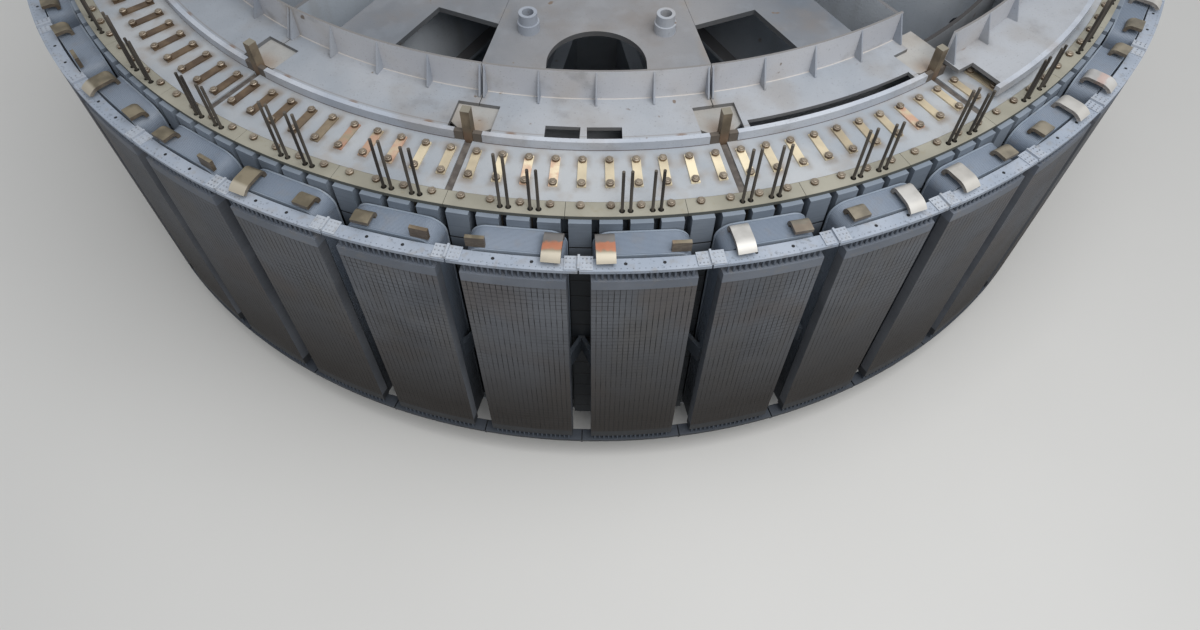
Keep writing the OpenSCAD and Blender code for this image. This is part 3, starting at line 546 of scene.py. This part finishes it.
plate_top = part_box("rim_sector_plates")[1].z
strap_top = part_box("rim_straps")[1].z
rim_edge_r = 4.751
inner_bolts = rim_bolt_row("inner_strap_nuts", inner_strap_r, strap_top, (7, 41, 22, 53))
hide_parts("strap_bolts")
outer_strap = rim_bolt_row("outer_strap_nuts", outer_strap_r, strap_top, (33, 12, 49, 26))
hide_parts("strap_bolts")
outer_bolts = rim_bolt_row("outer_rim_nuts", rim_edge_r, plate_top, (18, 47, 3, 36))
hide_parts("outer_rim_bolts")

# Round keys lock the pole claws in their slots. They were driven from above and stick out over
# the rim, dark with oil and dust, and a little lighter at their hammered ends.
stud_finish, stud_place = start_finish("pole_key_steel")
stud_runs = stud_place.noise(30.0, 4, (1, 1, 0.08))
stud_z = stud_place.split()[2]
stud_tone = stud_runs.rise(0.36, 0.66).mix(rgb(62, 58, 54), rgb(96, 90, 82))
stud_tone = (stud_z.rise(3.20, 3.33) * 0.5).mix(stud_tone, rgb(118, 110, 100))
wear_finish(
    ["pole_keys"],
    end_finish(stud_finish, stud_tone, 0.38 + stud_runs * 0.3, 0.4, stud_runs, 0.001),
)


# Each pole core is a stack of punched sheets between two thick end plates. Damper bars lie in
# round holes under the face and show through narrow slots, seventeen to a pole, and the sheets
# show as faint level lines. The blue-grey varnish has a satin gloss and brown dust on the face,
# which is painted darker towards the bottom, as shade.
bar_spacing, bars_reach = 0.03695, 0.31
packet_pitch, first_packet = 0.044, 0.52
face_r = cad_high.x


def pole_grid(place):
    """Distance out along a pole's middle and aside from it, height, the pole's number, and radius."""
    radius, turn, z = round_axis(place)
    cell = (turn - first_pole) / pole_pitch + 0.5
    aside_turn = (cell.one("FRACT") - 0.5) * math.radians(pole_pitch)
    number = (cell.one("FLOOR") + 80.0).one("MODULO", 40.0)
    return radius * aside_turn.one("COSINE"), radius * aside_turn.one("SINE"), z, number, radius


core_finish, core_place = start_finish("pole_varnish")
_, core_aside, core_z, core_number, core_radius = pole_grid(core_place)
core_chance = core_number.chance()
core_clouds = core_place.noise(1.7, 6)
core_sheets = core_place.noise(3.0, 4, (1, 1, 90))
core_face = core_radius.rise(face_r - 0.0015, face_r - 0.0010)
core_waver = core_place.noise(2.2, 2) * 0.004 - 0.002
core_slot = 1 - (core_aside + core_waver).repeat(bar_spacing).rise(0.0012, 0.0034)
core_slot = core_slot * core_aside.one("ABSOLUTE").one("LESS_THAN", bars_reach) * core_face
core_slot = core_slot * (0.4 + core_place.noise(5.0, 4, (1, 1, 1.6)).rise(0.38, 0.62) * 0.6)
core_packet = (1 - core_z.repeat(packet_pitch, first_packet).rise(0.0010, 0.0040)) * core_face
core_packet = core_packet * (0.25 + core_place.noise(2.4, 4).rise(0.4, 0.65) * 0.6)
core_patch = core_place.noise(1.3, 6) * core_face
core_dust = core_place.noise(3.2, 6, (1, 1, 0.5)).rise(0.45, 0.72) * core_face
# The pole face is painted dark brown towards the bottom, as shade.
core_low_shade = (1 - core_z.rise(0.3, 2.6)) * core_face
core_tone = core_clouds.rise(0.34, 0.68).mix(rgb(93, 97, 104), rgb(114, 118, 125))
core_tone = (core_chance * 0.35).mix(core_tone, rgb(88, 88, 89))
core_tone = (core_patch.rise(0.5, 0.66) * 0.45).mix(core_tone, rgb(98, 88, 82))
core_tone = (core_dust * 0.4).mix(core_tone, rgb(104, 98, 90))
core_tone = (core_low_shade * 1.1).one("MINIMUM", 1.0).mix(core_tone, rgb(38, 32, 27))
core_tone = (core_sheets.rise(0.5, 0.7) * 0.3).mix(core_tone, rgb(66, 69, 75))
core_tone = core_packet.mix(core_tone, rgb(46, 47, 50))
core_tone = core_slot.mix(core_tone, rgb(16, 16, 17))
core_relief = core_sheets * 0.15 - core_slot - core_packet * 0.4
wear_finish(
    ["pole_cores"],
    end_finish(core_finish, core_tone, 0.38 + core_clouds * 0.2, 0.0, core_relief, 0.003),
)


def satin_varnish(name, base, pale, grain=1.0, dust=0.3, shine=0.36):
    material, place = start_finish(name)
    out, aside, z, number, radius = pole_grid(place)
    chance = number.chance()
    clouds = place.noise(2.1 * grain, 6)
    marks = place.noise(13.0 * grain, 5)
    grit = place.noise(90.0, 3)
    colour = (clouds.rise(0.36, 0.66) * 0.8 + chance * 0.2).mix(base, pale)
    colour = (marks.rise(0.52, 0.72) * dust).mix(colour, rgb(140, 134, 126))
    colour = (grit.rise(0.62, 0.78) * 0.3).mix(colour, rgb(70, 74, 82))
    # Every varnished part is painted darker towards the bottom, as shade.
    colour = ((1 - z.rise(0.5, 2.6)) * 0.9).mix(colour, rgb(36, 37, 38))
    return material, place, (out, aside, z, radius), colour, shine + marks * 0.25, grit * 0.3 + marks


def plain_varnish(name, base, pale, grain=1.0, dust=0.3, shine=0.36, depth=0.002):
    material, _, _, colour, rough, relief = satin_varnish(name, base, pale, grain, dust, shine)
    return end_finish(material, colour, rough, 0.0, relief, depth)


end_varnish = plain_varnish("end_plate_varnish", rgb(106, 112, 122), rgb(122, 128, 138))
wear_finish(["upper_pole_plates", "lower_pole_plates"], end_varnish)

# The field coils are copper strip wound on edge, with insulation between the turns, so that the
# turns show as fine lines round the coil. An insulating collar closes each coil at the rim side
# and the shoe side. Coils and collars are varnished light blue-grey.
coil_finish, _, coil_cell, coil_tone, coil_rough, coil_relief = satin_varnish(
    "coil_varnish", rgb(122, 134, 150), rgb(138, 148, 162), 0.8, 0.22, 0.34
)
turn_pitch, first_turn_r = 0.0092, 4.884
coil_turn_line = 1 - coil_cell[0].repeat(turn_pitch, first_turn_r).rise(0.0008, 0.0022)
coil_tone = (coil_turn_line * 0.35).mix(coil_tone, rgb(84, 92, 106))
wear_finish(
    ["field_coils"],
    end_finish(coil_finish, coil_tone, coil_rough, 0.0, coil_relief * 0.4 - coil_turn_line, 0.0015),
)
collar_board = plain_varnish("collar_board", rgb(128, 140, 154), rgb(146, 156, 168), 1.4, 0.25, 0.5)
wear_finish(["rim_side_collars", "shoe_side_collars"], collar_board)

# The coils' ends are tabs of soldered copper leaves, waiting to be joined from pole to pole. The
# long ones are tinned bright on one side of the rotor, the others brown, and some show bare copper.
def tab_metal(name, tin):
    leaf_t, fold_r = 0.0034, 5.093
    material, place = start_finish(name)
    radius, turn, z = round_axis(place)
    chance = ((turn + 180.0) / (pole_pitch / 2)).one("FLOOR").chance()
    clouds = place.noise(8.0, 6)
    leaves = 1 - z.repeat(leaf_t).rise(0.0004, 0.0012)
    breaks = place.noise(30.0, 3, (1, 1, 3)).rise(0.35, 0.6)
    front = 1 - place.node("NewGeometry", out="Normal").split()[2].one("ABSOLUTE").rise(0.15, 0.45)
    middle = turn.near(-1.0, 4.0, 3.0) * 0.65 + chance.rise(0.75, 0.8) * 0.3 * tin
    streaks = place.noise(24.0, 3)
    warm = (radius + clouds * 0.06 + streaks * 0.06).near(fold_r, 0.018, 0.024) * middle
    bright = turn.rise(5.0, 9.0) * (1 - turn.rise(70.0, 90.0)) * (0.55 + chance * 0.45) * tin
    colour = clouds.rise(0.36, 0.66).mix(rgb(104, 96, 80), rgb(140, 130, 110))
    colour = (radius.rise(5.06, 5.09) * 0.75 * tin).mix(colour, rgb(196, 188, 172))
    colour = (bright * (0.5 + clouds * 0.8)).mix(colour, rgb(206, 205, 203))
    colour = ((1 - (radius + streaks * 0.04).rise(5.01, 5.04)) * middle).mix(colour, rgb(118, 118, 122))
    colour = warm.mix(colour, rgb(196, 116, 84))
    colour = (front * 0.55).mix(colour, rgb(104, 92, 82))
    colour = (leaves * breaks * front * 0.8).mix(colour, rgb(64, 52, 44))
    return end_finish(material, colour, 0.32 + clouds * 0.3, 0.3, clouds, 0.001)


wear_finish(["folded_coil_tabs"], tab_metal("tinned_tabs", 1.0))
wear_finish(["bent_coil_tabs", "upright_coil_tabs"], tab_metal("brown_tabs", 0.15))

# The damper rings join the bars above and below the poles. They are pale blue-grey, with two dark
# screw holes and rows of small punch marks over each pole. Riveted links bridge their joints.
ring_finish, ring_place, ring_cell, ring_tone, ring_rough, ring_relief = satin_varnish(
    "ring_paint", rgb(146, 156, 170), rgb(164, 172, 184), 1.2, 0.35, 0.42
)
_, ring_aside, ring_z, ring_radius = ring_cell
ring_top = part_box("upper_damper_ring")[1].z
ring_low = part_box("lower_damper_ring")[0].z
ring_t, screw_reach, screw_r, punch_r = 0.026, 0.118, 5.105, 5.140
screw_aside = ring_aside.one("ABSOLUTE") - screw_reach
screw_out = ring_radius - screw_r
screw = 1 - (screw_aside * screw_aside + screw_out * screw_out).one("SQRT").rise(0.010, 0.012)
punch = ring_aside.repeat(bar_spacing)
punch_out = ring_radius - punch_r
punch = (punch * punch + punch_out * punch_out).one("SQRT")
punch = (1 - punch.rise(0.0035, 0.005)) * 0.6
on_top = ring_z.rise(ring_top - 0.003, ring_top - 0.001)
on_top = on_top + (1 - ring_z.rise(ring_low + 0.001, ring_low + 0.003))
# The bars between the upper and lower rings are painted darker, as shade under the rings.
ring_bars_shade = 1 - ring_z.rise(ring_top - ring_t - 0.0005, ring_top - ring_t + 0.0005)
ring_bars_shade = ring_bars_shade * ring_z.rise(ring_low + ring_t - 0.0005, ring_low + ring_t + 0.0005)
ring_spots = ring_place.noise(42.0, 4).rise(0.60, 0.68) * 0.45
ring_tone = ring_spots.mix(ring_tone, rgb(98, 102, 110))
ring_tone = (screw * on_top).mix(ring_tone, rgb(28, 30, 34))
ring_tone = (punch * on_top).mix(ring_tone, rgb(74, 80, 90))
ring_tone = (ring_bars_shade * 0.85).mix(ring_tone, rgb(84, 92, 104))
wear_finish(
    ["upper_damper_ring", "lower_damper_ring"],
    end_finish(ring_finish, ring_tone, ring_rough, 0.0, ring_relief * 0.4 - screw * on_top, 0.002),
)
link_paint = plain_varnish("link_paint", rgb(158, 166, 178), rgb(176, 182, 190), 2.0, 0.4, 0.4, 0.001)
wear_finish(["upper_ring_links", "lower_ring_links"], link_paint)


def link_rivets(name, top, up):
    """Three by three rivet heads on each half of every link, above (up 1) or below (up -1)."""
    rivet_r, rivet_h = 0.0075, 0.0044
    first_aside, aside_step = 0.026, 0.024
    first_out, out_step = 5.072, 0.032
    bpy.ops.object.select_all(action="DESELECT")
    rivets = []
    joint = math.radians(first_pole - pole_pitch / 2)
    for side in (-1, 1):
        for column in range(3):
            for row in range(3):
                aside, out = side * (first_aside + column * aside_step), first_out + row * out_step
                place = Vector((
                    out * math.sin(joint) + aside * math.cos(joint),
                    -out * math.cos(joint) + aside * math.sin(joint),
                    top + up * rivet_h / 2,
                ))
                bpy.ops.mesh.primitive_cylinder_add(
                    vertices=8, radius=rivet_r, depth=rivet_h, location=place
                )
                rivet = bpy.context.object
                bpy.ops.object.transform_apply(location=True)
                for face in rivet.data.polygons:
                    face.select = (face.center.z - top) * up > rivet_h * 0.9
                bpy.ops.object.mode_set(mode="EDIT")
                bpy.ops.transform.resize(value=(0.62, 0.62, 1), center_override=tuple(place))
                bpy.ops.object.mode_set(mode="OBJECT")
                rivets.append(rivet)
                bpy.ops.object.select_all(action="DESELECT")
    for rivet in rivets:
        rivet.select_set(True)
    bpy.context.view_layer.objects.active = rivets[0]
    bpy.ops.object.join()
    group = bpy.context.object
    group.name = name
    bpy.ops.object.mode_set(mode="EDIT")
    bpy.ops.mesh.select_all(action="SELECT")
    bpy.ops.mesh.spin(steps=39, dupli=True, angle=math.radians(351), center=(0, 0, 0), axis=(0, 0, 1))
    bpy.ops.object.mode_set(mode="OBJECT")
    bpy.ops.object.transform_apply(location=True, rotation=True, scale=True)
    rivet_look, _, _, rivet_tone, rivet_rough, _ = satin_varnish(
        name + "_paint", rgb(120, 126, 136), rgb(190, 194, 200), 3.0, 0.3, 0.35
    )
    group.data.materials.append(end_finish(rivet_look, rivet_tone, rivet_rough, 0.2))
    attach(group, "root")


link_t = 0.008
link_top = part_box("upper_ring_links")[0].z + link_t
link_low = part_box("lower_ring_links")[1].z - link_t
link_rivets("upper_link_rivets", link_top, 1)
link_rivets("lower_link_rivets", link_low, -1)

# A wedge of bent plate props each pair of coils apart against the rim, halfway up the pole.
# It is painted a darker blue-grey than the coils.
brace_paint = plain_varnish("brace_paint", rgb(84, 94, 106), rgb(102, 112, 124), 1.6, 0.3, 0.4)
wear_finish(["coil_braces"], brace_paint)
